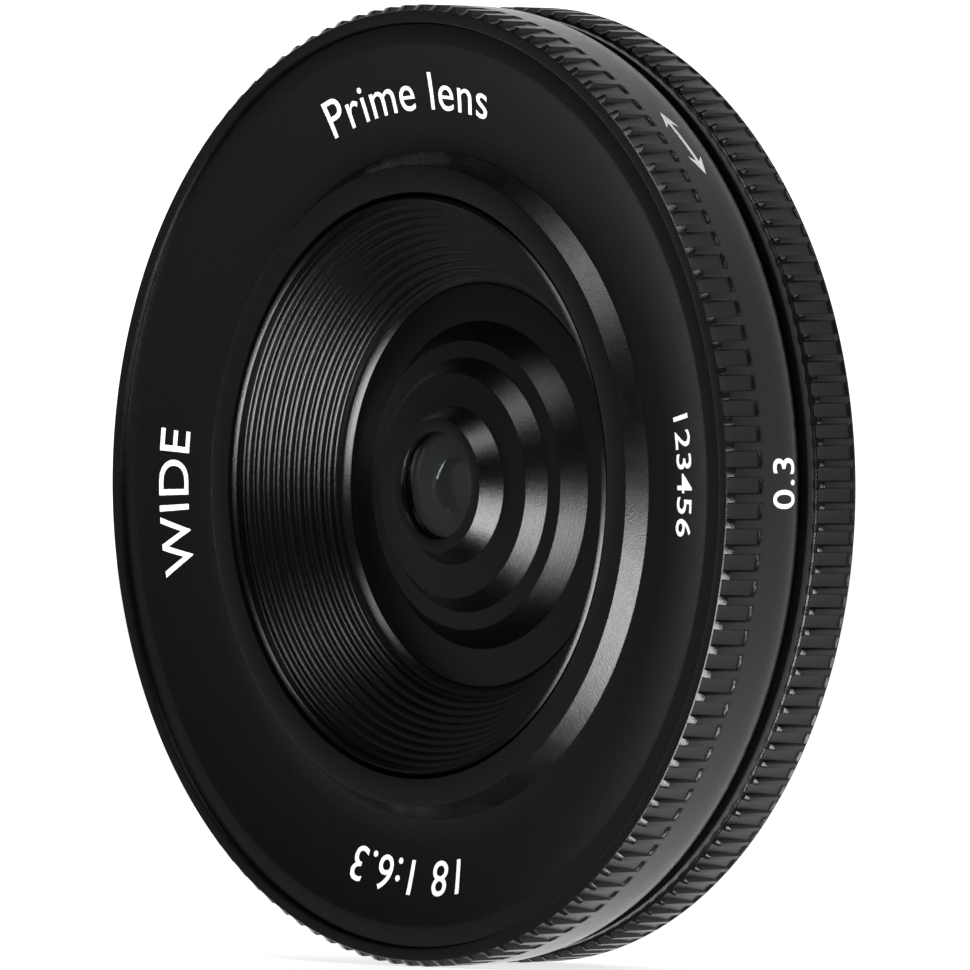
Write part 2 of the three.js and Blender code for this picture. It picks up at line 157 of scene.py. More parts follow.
class Nodes:
    """A short way to write one material's node tree."""

    def __init__(self, tree):
        self.tree = tree

    def add(self, kind, inputs=None, **settings):
        node = self.tree.nodes.new(kind)
        for key, value in settings.items():
            setattr(node, key, value)
        for key, value in (inputs or {}).items():
            if isinstance(value, bpy.types.NodeSocket):
                self.tree.links.new(value, node.inputs[key])
            else:
                node.inputs[key].default_value = value
        return node

    def math(self, operation, *values):
        inputs = dict(enumerate(values))
        return self.add("ShaderNodeMath", inputs, operation=operation).outputs[0]

    def noise(self, vector, scale, detail=2.0):
        inputs = {"Vector": vector, "Scale": scale, "Detail": detail}
        return self.add("ShaderNodeTexNoise", inputs).outputs["Fac"]

    def spread(self, value, low, high):
        """Noise near the middle of its range, stretched to run from low to high."""
        inputs = {"Value": value, "From Min": 0.3, "From Max": 0.7, "To Min": low, "To Max": high}
        return self.add("ShaderNodeMapRange", inputs).outputs[0]

    def ramp(self, value, start, end, low=0.0, high=1.0):
        """Rises smoothly from low at start to high at end, and holds beyond them."""
        inputs = {"Value": value, "From Min": start, "From Max": end, "To Min": low, "To Max": high}
        return self.add("ShaderNodeMapRange", inputs, interpolation_type="SMOOTHSTEP").outputs[0]

    def mix(self, factor, first, second):
        node = self.add("ShaderNodeMix", data_type="RGBA")
        self.tree.links.new(factor, node.inputs["Factor"])
        low, high = node.inputs[6:8]  # the sockets that a mix of two colours uses
        low.default_value = (*first, 1)
        high.default_value = (*second, 1)
        return node.outputs[2]

    def place(self):
        """The surface point in the object's own space."""
        return self.add("ShaderNodeTexCoord").outputs["Object"]

    def round_axis(self, along, across):
        """Coordinates for marks that run round the axis: stretched by along, fine by across."""
        split = self.add("ShaderNodeSeparateXYZ", {0: self.place()})
        x, y, z = split.outputs
        radius = self.math("SQRT", self.math("ADD", self.math("MULTIPLY", x, x), self.math("MULTIPLY", z, z)))
        angle = self.math("ARCTAN2", z, x)
        inputs = {
            0: self.math("MULTIPLY", radius, across),
            1: self.math("MULTIPLY", y, across),
            2: self.math("MULTIPLY", angle, along),
        }
        return self.add("ShaderNodeCombineXYZ", inputs).outputs[0]

    def bump(self, height, distance, strength=1.0, normal=None):
        inputs = {"Height": height, "Distance": distance, "Strength": strength}
        if normal is not None:
            inputs["Normal"] = normal
        return self.add("ShaderNodeBump", inputs).outputs[0]


def new_material(name):
    material = bpy.data.materials.new(name)
    material.use_nodes = True
    nodes = Nodes(material.node_tree)
    shader = material.node_tree.nodes["Principled BSDF"]
    return material, nodes, shader


def plug(material, shader, **links):
    """Links outputs to the shader's sockets; an underscore in a name stands for a space."""
    for key, output in links.items():
        material.node_tree.links.new(output, shader.inputs[key.replace("_", " ")])


# ---- materials ----------------------------------------------------------------------


def anodised():
    """Black anodised aluminium with the fine even grain of blasting."""
    material, nodes, shader = new_material("black_anodised_blasted")
    place = nodes.place()
    grain = nodes.noise(place, 10000, 2)
    coarse = nodes.noise(place, 700, 4)
    plug(
        material,
        shader,
        Base_Color=nodes.mix(nodes.spread(grain, 0, 1), (0.0007, 0.0008, 0.00075), (0.0015, 0.0017, 0.0016)),
        Roughness=nodes.spread(coarse, 0.25, 0.31),
        Normal=nodes.bump(grain, 0.00003, 0.5),
    )
    return material


def turned_black():
    """Black anodised metal that still shows the fine rings left by the lathe."""
    material, nodes, shader = new_material("black_anodised_turned")
    rings = nodes.noise(nodes.round_axis(2.0, 14000), 1.0, 2)
    grain = nodes.noise(nodes.place(), 13000, 2)
    normal = nodes.bump(rings, 0.000012, 0.4)
    plug(
        material,
        shader,
        Base_Color=nodes.mix(nodes.spread(rings, 0, 1), (0.0005, 0.0005, 0.0006), (0.0012, 0.0012, 0.0014)),
        Roughness=nodes.spread(grain, 0.22, 0.28),
        Normal=nodes.bump(grain, 0.000026, 0.5, normal),
    )
    return material


def satin_metal(name, color, dark, low, high):
    """Bare or plated metal with turning marks round the axis and faint handling wear."""
    material, nodes, shader = new_material(name)
    rings = nodes.noise(nodes.round_axis(1.5, 9000), 1.0, 3)
    wear = nodes.noise(nodes.place(), 350, 5)
    shader.inputs["Metallic"].default_value = 1
    plug(
        material,
        shader,
        Base_Color=nodes.mix(nodes.spread(wear, 0, 1), dark, color),
        Roughness=nodes.spread(rings, low, high),
        Normal=nodes.bump(rings, 0.000008, 0.3),
    )
    return material


def plastic():
    """Matt black moulded plastic."""
    material, nodes, shader = new_material("black_moulded")
    pores = nodes.noise(nodes.place(), 4500, 4)
    plug(
        material,
        shader,
        Base_Color=nodes.mix(nodes.spread(pores, 0, 1), (0.008, 0.008, 0.008), (0.014, 0.014, 0.014)),
        Roughness=nodes.spread(pores, 0.55, 0.68),
        Normal=nodes.bump(pores, 0.00002, 0.5),
    )
    return material


def paint():
    """White paint that fills the engraved marks."""
    material, nodes, shader = new_material("white_fill")
    uneven = nodes.noise(nodes.place(), 2500, 3)
    plug(
        material,
        shader,
        Base_Color=nodes.mix(nodes.spread(uneven, 0, 1), (0.76, 0.77, 0.76), (0.9, 0.9, 0.89)),
        Roughness=nodes.spread(uneven, 0.45, 0.6),
    )
    return material


def glass():
    """Coated optical glass: clear, with a faint uneven green in its coating."""
    material, nodes, shader = new_material("coated_glass")
    film = nodes.noise(nodes.place(), 120, 1)
    shader.inputs["IOR"].default_value = 1.52
    shader.inputs["Specular IOR Level"].default_value = 0.2
    shader.inputs["Transmission Weight"].default_value = 1
    shader.inputs["Roughness"].default_value = 0
    plug(
        material,
        shader,
        Base_Color=nodes.mix(nodes.spread(film, 0, 1), (0.74, 0.8, 0.78), (0.8, 0.83, 0.85)),
    )
    return material


MATERIALS = {
    "black_anodised": anodised(),
    "black_turned": turned_black(),
    "bayonet_metal": satin_metal("satin_chrome", (0.66, 0.66, 0.65), (0.56, 0.56, 0.55), 0.2, 0.3),
    "steel": satin_metal("machined_steel", (0.5, 0.5, 0.5), (0.38, 0.38, 0.39), 0.25, 0.36),
    "brass": satin_metal("turned_brass", (0.72, 0.5, 0.2), (0.55, 0.37, 0.13), 0.22, 0.34),
    "black_plastic": plastic(),
    "white_paint": paint(),
    "coated_glass": glass(),
}

# ---- mesh helpers -------------------------------------------------------------------


def eased(outline, size=0.04, steps=2):
    """The closed outline with each corner rounded, by at most size and a third of its shorter side."""
    result = []
    for i, point in enumerate(outline):
        corner = Vector(point)
        before = Vector(outline[i - 1]) - corner
        after = Vector(outline[(i + 1) % len(outline)]) - corner
        reach = min(size, before.length / 3, after.length / 3)
        if before.angle(after) > math.radians(165):
            result.append(tuple(corner))
            continue
        start = corner + before.normalized() * reach
        end = corner + after.normalized() * reach
        for step in range(steps + 1):
            t = step / steps
            result.append(tuple(start * (1 - t) ** 2 + corner * 2 * t * (1 - t) + end * t**2))
    return result


def on_axis(radius, depth, degrees):
    """The point, in metres, at this radius, depth and angle."""
    angle = math.radians(degrees)
    return radius * MM * math.cos(angle), FRONT_Y + depth * MM, radius * MM * math.sin(angle)


def new_object(name, vertices, faces):
    """An object from points and faces, closed and facing out, smooth except at real edges."""
    mesh = bpy.data.meshes.new(name)
    mesh.from_pydata(vertices, [], faces)
    tidy_mesh(mesh)
    piece = bpy.data.objects.new(name, mesh)
    bpy.context.scene.collection.objects.link(piece)
    return piece


def tidy_mesh(mesh, sharp=28):
    edit = bmesh.new()
    edit.from_mesh(mesh)
    bmesh.ops.remove_doubles(edit, verts=edit.verts, dist=2e-7)
    bmesh.ops.dissolve_degenerate(edit, edges=edit.edges, dist=1e-7)
    bmesh.ops.recalc_face_normals(edit, faces=edit.faces)
    edit.to_mesh(mesh)
    edit.free()
    mesh.polygons.foreach_set("use_smooth", [True] * len(mesh.polygons))
    mesh.set_sharp_from_angle(angle=math.radians(sharp))


def from_columns(name, columns):
    """A ring from (degrees, outline) columns, each outline with the same number of points."""
    vertices = [on_axis(radius, depth, degrees) for degrees, outline in columns for radius, depth in outline]
    rows = len(columns[0][1])
    faces = []
    for c in range(len(columns)):
        here, there = c * rows, (c + 1) % len(columns) * rows
        for r in range(rows):
            s = (r + 1) % rows
            faces.append((here + r, there + r, there + s, here + s))
    return new_object(name, vertices, faces)


def turned(name, outline, sides=240, ease=0.04):
    """A turned piece. An outline that starts and ends on the axis is closed there."""
    rounded = eased(outline, ease) if ease else outline
    return from_columns(name, [(360 * i / sides, rounded) for i in range(sides)])


def dress(piece, body, slot, *replaced):
    """Gives a piece the material named by its slot, puts it in its body, and hides the CAD nodes it stands
    for.
    """
    piece.data.materials.clear()
    piece.data.materials.append(MATERIALS[slot])
    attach(piece, body)
    if replaced:
        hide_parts(*replaced)
    return piece


def combined(piece, operation, tools):
    """Applies one boolean per tool to the piece, and removes the tools."""
    for tool in tools:
        modifier = piece.modifiers.new("boolean", "BOOLEAN")
        modifier.operation = operation
        modifier.solver = "EXACT"
        modifier.object = tool
    bpy.context.view_layer.update()
    evaluated = piece.evaluated_get(bpy.context.evaluated_depsgraph_get())
    mesh = bpy.data.meshes.new_from_object(evaluated)
    piece.modifiers.clear()
    piece.data = mesh
    for tool in tools:
        bpy.data.objects.remove(tool)
    tidy_mesh(mesh)
    return piece


def peg(circle, degrees, outline, sides=48):
    """A turned pin along Y at an angle on a circle. Its outline is (radius, y) in millimetres."""
    centre = Vector((circle * math.cos(math.radians(degrees)), 0, circle * math.sin(math.radians(degrees))))
    vertices = []
    for i in range(sides):
        angle = 2 * math.pi * i / sides
        for radius, y in outline:
            offset = Vector((radius * math.cos(angle), y, radius * math.sin(angle)))
            vertices.append((centre + offset) * MM)
    rows = len(outline)
    faces = []
    for c in range(sides):
        here, there = c * rows, (c + 1) % sides * rows
        for r in range(rows - 1):
            faces.append((here + r, there + r, there + r + 1, here + r + 1))
    return new_object("peg", vertices, faces)


# ---- knurled rings ------------------------------------------------------------------

def knurl_columns(teeth, land_outline, slot_outline):
    """Columns for every tooth: half a slot, the land, and the other half of the slot.

    land_outline takes how far the edge is rounded down, and slot_outline takes the place
    across the slot, from 0 in its middle to 1 at its side.
    """
    pitch = 360 / teeth["count"]
    half_land = pitch * teeth["share"] / 2
    half_slot = pitch / 2 - half_land
    side = [(pitch / 2 - across * half_slot, slot_outline(across)) for across in (0.5, 0.85, 1)]
    side.append((half_land - FLANK, land_outline(EDGE_DROP)))
    side.append((half_land - FLANK - EDGE, land_outline(0)))
    middle = (0, land_outline(0))
    left = [(-offset, outline) for offset, outline in side]
    tooth = [(-pitch / 2, slot_outline(0)), *left, middle, *reversed(side)]
    columns = []
    for i in range(teeth["count"]):
        start = teeth["land"] + pitch * i
        columns += [(start + offset, outline) for offset, outline in tooth]
    return columns


SHOULDER_DEPTHS = (4, 4.6, 5, 5.3, 5.55, 5.75, 5.9, 6.05, 6.18, 6.3, 6.4, 6.48, 6.55, BAND_END[1])


def band_radius(depth):
    """Radius of the band, nearly a cylinder with a round shoulder at its rear end."""
    share = max(0, (depth - BAND_START) / (BAND_END[1] - BAND_START))
    return CREST + (BAND_END[0] - CREST) * share**SHOULDER_POWER


def focus_ring():
    """Front grip: lands chamfered at the rim, slots that run out through it, and the smooth band."""
    inside = eased(
        [
            (28.9, BAND_END[1]),
            (27.9, BAND_END[1]),
            (27.9, 3.65),
            (23.2, 3.65),
            (23.2, 2.6),
            (28.5, 2.6),
            (28.5, 1.62),
            (RIM_INNER, 1.62),
        ],
        0.05,
    )
    shoulder = [band_radius(depth) for depth in SHOULDER_DEPTHS]
    band = [(CREST, BAND_START), *zip(shoulder, SHOULDER_DEPTHS)]
    climb = [SLOT_END - RUN_OUT * (1 - i / 8) for i in range(8)]
    rim = [
        (RIM_INNER, 0.16),
        (RIM_INNER + 0.04, 0.06),
        (RIM_INNER + 0.09, 0.02),
        (RIM_INNER + 0.15, 0),
        (RIM_OUTER - 0.05, 0),
        (RIM_OUTER, 0.05),
    ]

    def land(down):
        crest = CREST - down
        front = [*rim, (crest - 0.02, CHAMFER_END - 0.05), (crest, CHAMFER_END)]
        return [*front, *[(crest, depth) for depth in climb], (CREST, SLOT_END), *band, *inside]

    def slot(across):
        floor = SLOT_FLOOR + SLOT_HOLLOW * across**2
        early = END_CURVE * (1 - math.sqrt(1 - across**2))
        front = [*rim, (floor, CHAMFER_END - 0.05), (floor, CHAMFER_END)]
        high = floor + SLOT_RISE
        rise = [((depth - climb[0]) / (SLOT_END - early - climb[0])) ** 2 for depth in climb]
        slope = [(min(high + (CREST - high) * share, CREST), depth) for share, depth in zip(rise, climb)]
        return [*front, *slope, (CREST, SLOT_END), *band, *inside]

    return from_columns("focus_ring_knurled", knurl_columns(FRONT_TEETH, land, slot))


def rear_ring():
    """Fixed rear grip: a smooth lip in front, then finer lands whose slots are open at the rear."""
    rear = FLANGE_DEPTH - 0.2
    inside = eased(
        [
            (FLANGE_OUTER + 0.1, rear),
            (FLANGE_OUTER + 0.1, 9.42),
            (22.45, 9.42),
            (22.45, 6.05),
            (21.8, 6.05),
            (21.8, 4.75),
            (23.3, 4.75),
            (23.3, 7.2),
            (28.6, 7.2),
            (28.6, 6.8),
        ],
        0.05,
    )
    lip = [
        (29.93, 6.8),
        (30.03, 6.84),
        (30.06, 6.92),
        (30.05, 7.34),
        (30.02, 7.42),
        (30.0, 7.48),
        (30.08, 7.55),
    ]

    ends = [rear - 0.2 - RUN_OUT * (1 - i / 5) for i in range(6)]
    back = [(CREST, rear - 0.12), (CREST - 0.1, rear)]

    def land(down):
        crest = CREST - down
        front = [(30.28, 7.62), (crest - 0.03, 7.85), (crest, 7.92)]
        return [*lip, *front, *[(crest, depth) for depth in ends], *back, *inside]

    def slot(across):
        floor = SLOT_FLOOR + SLOT_HOLLOW * across**2
        front = [(floor, 7.56), (floor, 7.7), (floor, 7.92)]
        high = floor + SLOT_RISE
        slope = [(high + (CREST - high) * (i / 5) ** 2, depth) for i, depth in enumerate(ends)]
        return [*lip, *front, *slope, *back, *inside]

    return from_columns("rear_ring_knurled", knurl_columns(REAR_TEETH, land, slot))


dress(focus_ring(), TURNING, "black_anodised", "focus_ring")
dress(rear_ring(), FIXED, "black_anodised", "rear_grip_ring")

# ---- front: name ring, ribs and hub -------------------------------------------------


def name_surface(radius):
    """Depth of the lettered face, a shallow dish that is steepest at the rim."""
    share = (NAME_OUTER[0] - radius) / (NAME_OUTER[0] - NAME_INNER[0])
    bowed = share + DISH * share * (1 - share)
    return NAME_OUTER[1] + bowed * (NAME_INNER[1] - NAME_OUTER[1])


def name_ring():
    steps = 12
    radii = [NAME_OUTER[0] + (NAME_INNER[0] - NAME_OUTER[0]) * i / steps for i in range(steps + 1)]
    outline = [
        (RIM_INNER - 0.05, 0.3),
        *[(radius, name_surface(radius)) for radius in radii],
        (21.25, 1.52),
        (20.33, 0.35),
        (18.6, 0.35),
        (18.6, 2),
        (23.2, 2),
        (25, 1.57),
        (RIM_INNER - 0.05, 1.57),
    ]
    return turned("name_ring_turned", outline, 360, 0.06)


def ribbed_baffle():
    """Funnel of narrow ledges, each with a small chamfer, behind a sharp lip."""
    ribs = []
    for i in range(RIB["count"] + 1):
        radius = RIB["radius"] - RIB["pitch"] * i
        depth = RIB["depth"] + RIB["pitch"] * i
        edge = radius - RIB["ledge"]
        ribs += [(radius, depth - RIB["foot"]), (radius - RIB["foot"], depth)]
        if i < RIB["count"]:
            ribs += [(edge, depth), (edge - RIB["chamfer"], depth + RIB["chamfer"])]
    outline = [
        (LIP_RADIUS, 0.51),
        (LIP_RADIUS - 0.21, 0.3),
        (LIP_RADIUS - 0.42, 0.51),
        *ribs,
        (13.55, 5.35),
        (13.5, 5.58),
        (13.25, 5.6),
        (12.9, 5.95),
        (12.95, 6.05),
        (14.3, 6.05),
        (14.3, 6.92),
        (17.85, 6.92),
        (17.85, 3.35),
        (LIP_RADIUS, 3.35),
    ]
    return turned("ribbed_baffle_turned", outline, 300, 0.006)


def front_hub():
    outline = [
        (3.45, 2.2),
        (4.28, 2.2),
        (5.06, 3.52),
        (7.17, 3.52),
        (8.1, 4.64),
        (9.22, 4.64),
        (10.45, HUB_FLOOR),
        (12.85, HUB_FLOOR),
        (12.85, 6.1),
        (14.2, 6.1),
        (14.2, 6.92),
        (4.65, 6.92),
        (4.65, 4.12),
        (3.9, 4.12),
        (3.9, 2.6),
        (3.45, 2.6),
    ]
    return turned("front_hub_turned", outline, 240, 0.05)


def stop_plate():
    """Black ring behind the front element, with a bevelled bore."""
    outline = [(3.85, 3.9), (1.95, 3.9), (1.76, 4.08), (3.85, 4.08)]
    return turned("front_stop_turned", outline, 240, 0.015)


dress(name_ring(), TURNING, "black_anodised", "name_ring")
dress(ribbed_baffle(), OPTICS, "black_turned", "ribbed_baffle")
dress(front_hub(), OPTICS, "black_turned", "front_hub")
dress(stop_plate(), OPTICS, "black_plastic", "front_stop_plate")

# ---- lens elements ------------------------------------------------------------------

CEMENT = 0.03


def surface(apex, curve, rim, steps=14):
    """Points of a spherical face from the axis out. A positive curve has its rim further back."""
    points = []
    for i in range(steps + 1):
        radius = rim * i / steps
        sag = abs(curve) - math.sqrt(curve**2 - radius**2)
        points.append((radius, apex + math.copysign(sag, curve)))
    return points


def elements():
    front, middle, rear = 3.85, 2.9, 4.0
    faces = (
        (surface(2.36, 20, front), surface(3.1, 25, front)),
        (surface(4.35, 8, middle), surface(5.9, -8, middle)),
        (surface(5.9 + CEMENT, -8, middle), surface(6.58, -20, middle)),
        (surface(8.05, -10, middle), surface(8.45, 8, middle)),
        (surface(8.45 + CEMENT, 8, middle), surface(10.2, -8, middle)),
        (surface(11.62, -12, rear), surface(13, -7, rear)),
    )
    for number, (near, far) in enumerate(faces, 1):
        piece = turned(f"element_{number}_polished", [*near, *reversed(far)], 96, 0)
        dress(piece, OPTICS, "coated_glass", f"lens_element_{number}")


elements()

# ---- rear: bayonet, light baffle, screws --------------------------------------------

MOUNT_SCREWS = {"count": 4, "first": 45, "circle": 25.2, "shank": 0.8, "head": 1.45}
BAFFLE_SCREWS = {"count": 3, "first": 30, "circle": 19.4, "shank": 0.4, "head": 0.75}


def places(screws):
    return [screws["first"] + 360 / screws["count"] * i for i in range(screws["count"])]


def lug(centre, span):
    """One bayonet lug, with its long edges eased."""
    inner, low, high, ease = TUBE - 0.4, 2.3, 3.8, 0.12
    section = [
        (inner, low),
        (LUG_RADIUS - ease, low),
        (LUG_RADIUS, low + ease),
        (LUG_RADIUS, high - ease),
        (LUG_RADIUS - ease, high),
        (inner, high),
    ]
    count = 24
    vertices = []
    for i in range(count + 1):
        degrees = centre - span / 2 + span * i / count
        vertices += [on_axis(radius, FLANGE_DEPTH + y, degrees) for radius, y in section]
    rows = len(section)
    faces = [tuple(range(rows)), tuple(count * rows + r for r in range(rows))]
    for c in range(count):
        for r in range(rows):
            s = (r + 1) % rows
            faces.append((c * rows + r, (c + 1) * rows + r, (c + 1) * rows + s, c * rows + s))
    return new_object("lug", vertices, faces)


def hole(circle, degrees, radius, floor, ease=0.1):
    """A tool for a blind hole in the flange face, with a chamfer at its mouth."""
    outline = [(0, floor), (radius, floor), (radius, -ease), (radius + ease, 0), (radius + ease, 1), (0, 1)]
    return peg(circle, degrees, outline)


def bayonet():
    plate_y = -1.23
    outline_y = [
        (THROAT, plate_y),
        (FLANGE_OUTER, plate_y),
        (FLANGE_OUTER, -0.15),
        (FLANGE_OUTER - 0.15, 0),
        (TUBE + 0.25, 0),
        (TUBE + 0.1, 0.12),
        (TUBE, 0.3),
        (TUBE, 4.1),
        (TUBE - 0.2, 4.3),
        (THROAT + 0.15, 4.3),
        (THROAT, 4.15),
        (THROAT, 3.1),
        (18.6, 3.1),
        (18.6, 2.2),
        (THROAT, 2.2),
    ]
    outline = [(radius, FLANGE_DEPTH + y) for radius, y in outline_y]
    plate = turned("bayonet_turned", outline, 240, 0.03)
    combined(plate, "UNION", [lug(centre, span) for centre, span in LUGS])
    circle = MOUNT_SCREWS["circle"]
    seats = [hole(circle, degrees, MOUNT_SCREWS["head"] + 0.1, -0.75) for degrees in places(MOUNT_SCREWS)]
    lock, dot = LOCK_HOLE, INDEX_DOT
    seats.append(hole(lock["circle"], lock["degrees"], lock["radius"], lock["floor"]))
    seats.append(hole(dot["circle"], dot["degrees"], dot["seat"], dot["floor"], 0.03))
    return combined(plate, "DIFFERENCE", seats)


def light_baffle():
    """Black dish round the rear element, with fine steps on its slope against stray light."""
    steps = []
    for i in range(9):
        radius, y = 8.4 + 0.8 * i, 3.38 + 0.07 * i
        steps += [(radius, y), (radius + 0.35, y + 0.01), (radius + 0.4, y + 0.07)]
    outline_y = [
        (6.6, 2.6),
        (17.5, 2.6),
        (17.5, 3.15),
        (THROAT - 0.1, 3.15),
        (THROAT - 0.1, 4),
        (15.6, 4),
        *reversed(steps),
        (7.9, 3.35),
        (6.6, 3.35),
    ]
    outline = [(radius, FLANGE_DEPTH + y) for radius, y in outline_y]
    dish = turned("rear_baffle_moulded", outline, 180, 0.03)
    radius = BAFFLE_SCREWS["shank"] + 0.06
    shank = [(0, 2), (radius, 2), (radius, 5), (0, 5)]
    circle = BAFFLE_SCREWS["circle"]
    holes = [peg(circle, degrees, shank, 24) for degrees in places(BAFFLE_SCREWS)]
    return combined(dish, "DIFFERENCE", holes)


def screw(name, screws, degrees, top, head_height, length):
    """A screw with a low domed head and a tapered cross recess. Its head's top is at y = top."""
    head, shank = screws["head"], screws["shank"]
    outline = [
        (0, top),
        (head * 0.5, top - head_height * 0.06),
        (head * 0.82, top - head_height * 0.22),
        (head * 0.97, top - head_height * 0.5),
        (head, top - head_height),
        (shank, top - head_height),
        (shank, top - length),
        (0, top - length),
    ]
    piece = peg(screws["circle"], degrees, outline, 64)
    piece.name = name
    centre = Vector(on_axis(screws["circle"], FLANGE_DEPTH + top, degrees))
    tools = [cross_arm(centre, head, head_height, turn + degrees) for turn in (0, 90)]
    return combined(piece, "DIFFERENCE", tools)


def cross_arm(centre, head, depth, degrees):
    """One tapered arm of a cross recess, wide at the top and narrow at the bottom."""
    corners = []
    for y, half_length, half_width in ((0.2, 0.62, 0.17), (-0.75 * depth, 0.3, 0.08)):
        for x, z in ((1, 1), (1, -1), (-1, -1), (-1, 1)):
            corners.append(Vector((x * half_length * head, y, z * half_width * head)) * MM)
    turn = Euler((0, math.radians(degrees), 0)).to_matrix()
    vertices = [centre + turn @ corner for corner in corners]
    faces = [(0, 1, 2, 3), (4, 5, 6, 7)]
    faces += [(i, (i + 1) % 4, (i + 1) % 4 + 4, i + 4) for i in range(4)]
    return new_object("cross_arm", vertices, faces)


def rear_pieces():
    dress(bayonet(), FIXED, "bayonet_metal", "bayonet_plate")
    dress(light_baffle(), FIXED, "black_plastic", "rear_light_baffle")
    for number, degrees in enumerate(places(MOUNT_SCREWS), 1):
        piece = screw(f"mount_screw_{number}_crosshead", MOUNT_SCREWS, degrees, -0.12, 0.58, 2.85)
        dress(piece, FIXED, "steel", f"mount_screw_{number}")
    for number, degrees in enumerate(places(BAFFLE_SCREWS), 1):
        piece = screw(f"baffle_screw_{number}_crosshead", BAFFLE_SCREWS, degrees, 4.24, 0.22, 1.7)
        dress(piece, FIXED, "steel", f"baffle_screw_{number}")
    drop = [(0, -0.35), (0.75, -0.35), (0.75, -0.1), (0.66, -0.04), (0.4, -0.02), (0, -0.02)]
    dot = peg(INDEX_DOT["circle"], INDEX_DOT["degrees"], drop)
    dot.name = "index_dot_filled"
    dress(dot, FIXED, "white_paint", "index_dot")
    cell = [
        (2.95, 4.15),
        (4.6, 4.15),
        (4.6, 7.05),
        (7.5, 7.05),
        (7.5, 8.62),
        (8.4, 8.62),
        (8.4, 9.3),
        (5.3, 9.3),
        (5.3, 12.9),
        (4.05, 12.9),
        (4.05, 10.9),
        (2.95, 10.9),
        (2.95, 6.95),
        (2.6, 6.95),
        (2.6, 6.5),
        (2.95, 6.5),
    ]
    dress(turned("lens_cell_turned", cell, 120, 0.06), OPTICS, "black_turned", "lens_cell")
    retainer = [(3.45, 12.25), (4, 11.87), (4, 12.8), (3.45, 12.8)]
    dress(turned("rear_retainer_turned", retainer, 96, 0.06), OPTICS, "black_turned", "rear_retaining_ring")


rear_pieces()

# ---- white marks --------------------------------------------------------------------

MARK_LIFT = 0.012  # the paint stands this far above the metal
MARK_DEPTH = 0.03
DISTANCE_LINE = 5.35  # depth of the line that the distances stand on
THROW = 100  # degrees from the nearest distance to infinity


def flat_text(words, size, weight, spacing=1.0):
    """A flat, slightly thick mesh of the words, centred on x, with its baseline at y = 0."""
    curve = bpy.data.curves.new("words", "FONT")
    curve.body = words
    curve.size = size
    curve.align_x = "CENTER"
    curve.space_character = spacing
    curve.offset = weight
    curve.extrude = MARK_DEPTH / 2
    curve.resolution_u = 6
    holder = bpy.data.objects.new("words", curve)
    bpy.context.scene.collection.objects.link(holder)
    bpy.context.view_layer.update()
    mesh = bpy.data.meshes.new_from_object(holder.evaluated_get(bpy.context.evaluated_depsgraph_get()))
    bpy.data.objects.remove(holder)
    return mesh


def flat_shape(outline):
    """The same kind of mesh from one outline of (x, y) points."""
    edit = bmesh.new()
    low = [edit.verts.new((x, y, -MARK_DEPTH / 2)) for x, y in outline]
    high = [edit.verts.new((x, y, MARK_DEPTH / 2)) for x, y in outline]
    edit.faces.new(reversed(low))
    edit.faces.new(high)
    for i in range(len(outline)):
        j = (i + 1) % len(outline)
        edit.faces.new((low[i], low[j], high[j], high[i]))
    bmesh.ops.triangulate(edit, faces=[face for face in edit.faces if len(face.verts) > 4])
    mesh = bpy.data.meshes.new("shape")
    edit.to_mesh(mesh)
    edit.free()
    return mesh


def place_mark(name, mesh, body, where):
    """Bends a flat mark onto the lens. where turns (x, y, height) into a point in metres."""
    split_long_edges(mesh)
    for vertex in mesh.vertices:
        height = vertex.co.z + MARK_LIFT - MARK_DEPTH / 2
        vertex.co = where(vertex.co.x, vertex.co.y, height)
    tidy_mesh(mesh, 60)
    piece = bpy.data.objects.new(name, mesh)
    bpy.context.scene.collection.objects.link(piece)
    return dress(piece, body, "white_paint")


def split_long_edges(mesh, longest=0.5):
    edit = bmesh.new()
    edit.from_mesh(mesh)
    bmesh.ops.remove_doubles(edit, verts=edit.verts, dist=1e-4)
    long = [edge for edge in edit.edges if edge.calc_length() > longest]
    bmesh.ops.subdivide_edges(edit, edges=long, cuts=2)
    bmesh.ops.triangulate(edit, faces=edit.faces)
    edit.to_mesh(mesh)
    edit.free()


def on_face(degrees, base):
    """Letters that run clockwise on the name ring with their tops outwards."""

    def where(x, y, height):
        radius = base + y
        return on_axis(radius, name_surface(radius) - height, degrees - math.degrees(x / base))

    return where


def on_band(degrees, base):
    """Marks on the band with their tops to the front."""

    def where(x, y, height):
        depth = base - y
        return on_axis(band_radius(depth) + height, depth, degrees + math.degrees(x / CREST))

    return where


def double_arrow(length, head, half_width, shaft):
    """Two swept heads joined by a thin shaft, along x."""
    half = length / 2
    right = [
        (half - head * 0.72, shaft),
        (half - head, half_width),
        (half, 0),
        (half - head, -half_width),
        (half - head * 0.72, -shaft),
    ]
    return right + [(-x, -y) for x, y in right]


